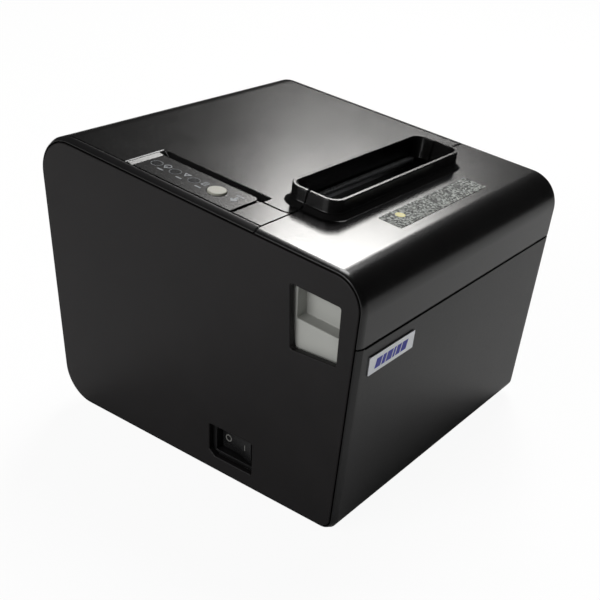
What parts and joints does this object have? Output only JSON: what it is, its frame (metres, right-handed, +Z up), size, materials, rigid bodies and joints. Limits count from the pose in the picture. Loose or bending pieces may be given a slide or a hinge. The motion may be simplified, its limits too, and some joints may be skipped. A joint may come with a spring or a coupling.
{
  "type": "receipt printer",
  "caption": "Desktop thermal receipt printer: sloping black case with bevelled sides, rear-hinged paper lid, raised oval paper slot, side release lever and corner control panel",
  "frame": {"origin": "The middle of the body in plan, on the surface that the rubber feet stand on", "axes": "+Y is the rear and the longest side in plan, +Z is up and the shortest side, +X is the right side seen from the front"},
  "size_m": [0.145, 0.1624, 0.1238],
  "materials": {
    "casing": "fine spark texture, black",
    "covers": "satin, fine texture, black",
    "panels": "fine texture, black",
    "rubber": "matt",
    "panel_plate": "smooth matt",
    "lens": "clear, off-white",
    "button": "pale ivory",
    "silver_label": "silver with fine speckle",
    "steel": "brushed",
    "blade_steel": "ground",
    "brass": "turned",
    "aluminium": "extruded",
    "gear_plastic": "natural acetal",
    "ceramic": "fired glaze line",
    "frame_plastic": "black",
    "grey_plastic": "grey",
    "board": "green mask",
    "chips": "black",
    "motor_can": "plated",
    "port_shell": "plated",
    "wire": "insulated",
    "flex": "flat cable"
  },
  "bodies": {
    "casing": {"lower_casing": "casing", "upper_front_cover": "covers", "left_side_panel": "panels", "right_side_panel": "panels", "rubber_feet": "rubber", "control_tray": "casing", "control_plate": "panel_plate", "power_light": "lens", "error_light": "lens", "paper_light": "lens", "panel_board": "board", "feed_switch": "chips", "badge_plate": "silver_label", "speckle_label": "silver_label", "hinge_pins": "steel", "side_frame_left": "steel", "side_frame_right": "steel", "cross_plate": "steel", "head_springs": "steel", "idler_stud": "steel", "feed_motor": "motor_can", "cutter_frame": "frame_plastic", "cutter_motor": "motor_can", "lock_spring": "steel", "paper_guide": "frame_plastic", "paper_bucket": "frame_plastic", "paper_end_sensor": "chips", "main_board": "board", "board_components": "chips", "power_inlet": "chips", "usb_port": "port_shell", "ethernet_port": "port_shell", "serial_port": "port_shell", "drawer_port": "chips", "connector_plate": "steel", "power_switch": "casing", "switch_wires": "wire", "head_cable": "flex", "frame_screws": "steel", "board_screws": "steel"},
    "lid": {"lid": "covers", "tear_bar": "blade_steel", "platen_holder": "frame_plastic", "fixed_blade": "blade_steel", "platen_bushes": "gear_plastic"},
    "platen": {"platen_shaft": "steel", "platen_rubber": "rubber", "platen_gear": "gear_plastic"},
    "idler": {"idler_gear": "gear_plastic"},
    "feed_rotor": {"motor_pinion": "brass"},
    "head": {"print_head": "ceramic", "heat_sink": "aluminium"},
    "blade": {"moving_blade": "blade_steel"},
    "cutter_drive": {"cutter_pinion": "brass"},
    "lever": {"release_lever": "grey_plastic", "lock_shaft": "steel", "lock_arms": "steel"},
    "rocker": {"power_rocker": "panel_plate"},
    "button": {"feed_button": "button"}
  },
  "joints": [
    {"name": "lid_hinge", "type": "hinge", "parent": "casing", "child": "lid", "pos_m": [0, 0.06995, 0.10404], "axis": [-1, 0, 0], "range_deg": [0, 75]},
    {"name": "platen_spin", "type": "hinge", "parent": "lid", "child": "platen", "pos_m": [0, -0.02722, 0.09383], "axis": [1, 0, 0], "continuous": true},
    {"name": "idler_spin", "type": "hinge", "parent": "casing", "child": "idler", "pos_m": [0, -0.02546, 0.07712], "axis": [1, 0, 0], "continuous": true},
    {"name": "feed_motor_spin", "type": "hinge", "parent": "casing", "child": "feed_rotor", "pos_m": [0, -0.03302, 0.06348], "axis": [1, 0, 0], "continuous": true},
    {"name": "print_head_pivot", "type": "hinge", "parent": "casing", "child": "head", "pos_m": [0, -0.03481, 0.08478], "axis": [1, 0, 0], "range_deg": [0, 2.5], "stiffness_Nm_per_rad": 4, "springref_deg": -2.86, "deforming": ["head_springs"]},
    {"name": "cutter_blade_slide", "type": "slide", "parent": "casing", "child": "blade", "axis": [0, 0.9945, 0.1045], "range_m": [0, 0.008]},
    {"name": "cutter_motor_spin", "type": "hinge", "parent": "casing", "child": "cutter_drive", "pos_m": [0, -0.06062, 0.10067], "axis": [0, -0.1045, 0.9945], "range_deg": [0, 115]},
    {"name": "release_lever_pivot", "type": "hinge", "parent": "casing", "child": "lever", "pos_m": [0, -0.04752, 0.08898], "axis": [1, 0, 0], "range_deg": [0, 12], "stiffness_Nm_per_rad": 0.4, "springref_deg": -17.19},
    {"name": "power_rocker_pivot", "type": "hinge", "parent": "casing", "child": "rocker", "pos_m": [-0.0633, -0.024, 0.0176], "axis": [0, 0, 1], "range_deg": [0, 14]},
    {"name": "feed_button_press", "type": "slide", "parent": "casing", "child": "button", "axis": [0, 0.1045, -0.9945], "range_m": [0, 0.0008], "stiffness_N_per_m": 400, "springref_m": -0.001}
  ],
  "couplings": [
    {"joint": "idler_spin", "follows": "platen_spin", "ratio": -0.4},
    {"joint": "feed_motor_spin", "follows": "platen_spin", "ratio": 1.3333},
    {"joint": "cutter_motor_spin", "follows": "cutter_blade_slide", "rad_per_m": 250}
  ]
}
